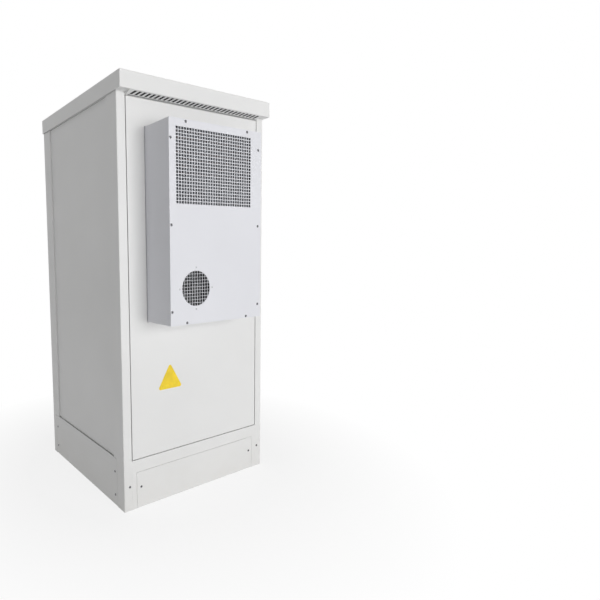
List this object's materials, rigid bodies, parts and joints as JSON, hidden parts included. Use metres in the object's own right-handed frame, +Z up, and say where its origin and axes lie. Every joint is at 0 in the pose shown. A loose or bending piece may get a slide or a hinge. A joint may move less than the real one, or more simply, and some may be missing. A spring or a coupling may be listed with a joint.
{
  "type": "outdoor equipment cabinet",
  "caption": "Outdoor equipment cabinet on a plinth: folded sheet body, overhanging roof, hinged door with rod lock and a cooling unit mounted in the door, mounting rails inside.",
  "frame": {"origin": "centre of the 750 by 725 mm footprint at ground level, which is the centre of the anchor hole pattern", "axes": "+Z up; the door and the front face look along -Y; +X to the right as seen from the front"},
  "size_m": [0.76, 0.884, 1.665],
  "materials": {
    "cabinet_paint": "fine textured light grey powder coat",
    "unit_paint": "satin pale grey powder coat",
    "zinc": "bright zinc plated sheet",
    "yellow_zinc": "yellow passivated zinc plating",
    "galvanised": "galvanised heavy sheet",
    "hinge_steel": "zinc plated steel",
    "pin_steel": "dark oiled steel",
    "foam": "closed cell foam seal",
    "gland_rubber": "moulded rubber",
    "black_plastic": "moulded black nylon",
    "white_plastic": "white moulded plastic",
    "green_plastic": "green plug-in terminal plastic",
    "lamp_plastic": "opal plastic",
    "lock_metal": "plated lock cylinder",
    "fins": "thin aluminium fins",
    "compressor_paint": "black enamel over a steel can",
    "liner": "painted liner over foam",
    "grille_paint": "satin pale grey powder coat"
  },
  "bodies": {
    "cabinet": {"base_frame": "galvanised", "front_left_post": "cabinet_paint", "front_right_post": "cabinet_paint", "rear_left_post": "cabinet_paint", "rear_right_post": "cabinet_paint", "top_frame": "cabinet_paint", "plinth_front_frame": "cabinet_paint", "door_frame": "cabinet_paint", "left_side_panel": "cabinet_paint", "right_side_panel": "cabinet_paint", "rear_panel": "cabinet_paint", "roof_cover": "cabinet_paint", "roof_vent_strip": "cabinet_paint", "front_plinth_panel": "cabinet_paint", "left_plinth_panel": "cabinet_paint", "right_plinth_panel": "cabinet_paint", "rear_plinth_panel": "cabinet_paint", "floor_plate": "galvanised", "ceiling_plate": "cabinet_paint", "cable_glands": "gland_rubber", "front_rack_rails": "zinc", "rear_rack_rails": "zinc", "rack_braces": "zinc", "support_arms": "zinc", "cable_strip": "white_plastic", "earth_plate": "yellow_zinc", "ceiling_lamp": "lamp_plastic", "lamp_driver": "black_plastic", "hinge_frame_leaves": "hinge_steel", "hinge_pins": "pin_steel"},
    "door": {"door_skin": "cabinet_paint", "door_gasket": "foam", "door_inner_frame": "cabinet_paint", "door_insulation_panel": "liner", "hinge_door_leaves": "hinge_steel", "rod_guides": "zinc", "lock_housing": "black_plastic", "handle_base": "black_plastic", "lock_gear_case": "hinge_steel", "ac_gasket": "foam", "ac_shell": "unit_paint", "ac_inner_frames": "unit_paint", "ac_front_cover": "unit_paint", "ac_intake_grille": "grille_paint", "ac_fan_grille": "grille_paint", "ac_inner_cover": "unit_paint", "condenser_coil": "fins", "evaporator_coil": "fins", "compressor": "compressor_paint", "fan_motors": "black_plastic", "ac_controller": "black_plastic", "ac_terminals": "green_plastic"},
    "handle": {"handle_lever": "black_plastic", "lock_cylinder": "lock_metal"},
    "key_flap": {"key_flap": "black_plastic"},
    "rod_pinion": {"rod_pinion": "hinge_steel"},
    "top_rod": {"top_lock_rod": "hinge_steel"},
    "bottom_rod": {"bottom_lock_rod": "hinge_steel"},
    "condenser_fan": {"condenser_fan": "black_plastic"},
    "evaporator_fan": {"evaporator_fan": "black_plastic"}
  },
  "joints": [
    {"name": "door_swing", "type": "hinge", "parent": "cabinet", "child": "door", "pos_m": [-0.321, -0.3539, 0.898], "axis": [0, 0, -1], "range_deg": [0, 110]},
    {"name": "handle_lift", "type": "hinge", "parent": "door", "child": "handle", "pos_m": [0.248, -0.3695, 0.868], "axis": [1, 0, 0], "range_deg": [0, 45]},
    {"name": "key_flap_turn", "type": "hinge", "parent": "handle", "child": "key_flap", "pos_m": [0.248, -0.4091, 0.84254], "axis": [-1, 0, 0], "range_deg": [0, 100]},
    {"name": "pinion_turn", "type": "hinge", "parent": "door", "child": "rod_pinion", "pos_m": [0.248, -0.3165, 0.914], "axis": [0, -1, 0], "range_deg": [0, 90]},
    {"name": "top_rod_slide", "type": "slide", "parent": "door", "child": "top_rod", "axis": [0, 0, 1], "range_m": [0, 0.01885]},
    {"name": "bottom_rod_slide", "type": "slide", "parent": "door", "child": "bottom_rod", "axis": [0, 0, -1], "range_m": [0, 0.01885]},
    {"name": "condenser_fan_spin", "type": "hinge", "parent": "door", "child": "condenser_fan", "pos_m": [-0.135, -0.495, 0.88], "axis": [0, 1, 0], "continuous": true},
    {"name": "evaporator_fan_spin", "type": "hinge", "parent": "door", "child": "evaporator_fan", "pos_m": [0.07, -0.36, 1.357], "axis": [0, 1, 0], "continuous": true}
  ],
  "couplings": [
    {"joint": "pinion_turn", "follows": "handle_lift", "ratio": 2},
    {"joint": "top_rod_slide", "follows": "handle_lift", "m_per_rad": 0.024},
    {"joint": "bottom_rod_slide", "follows": "handle_lift", "m_per_rad": 0.024}
  ]
}
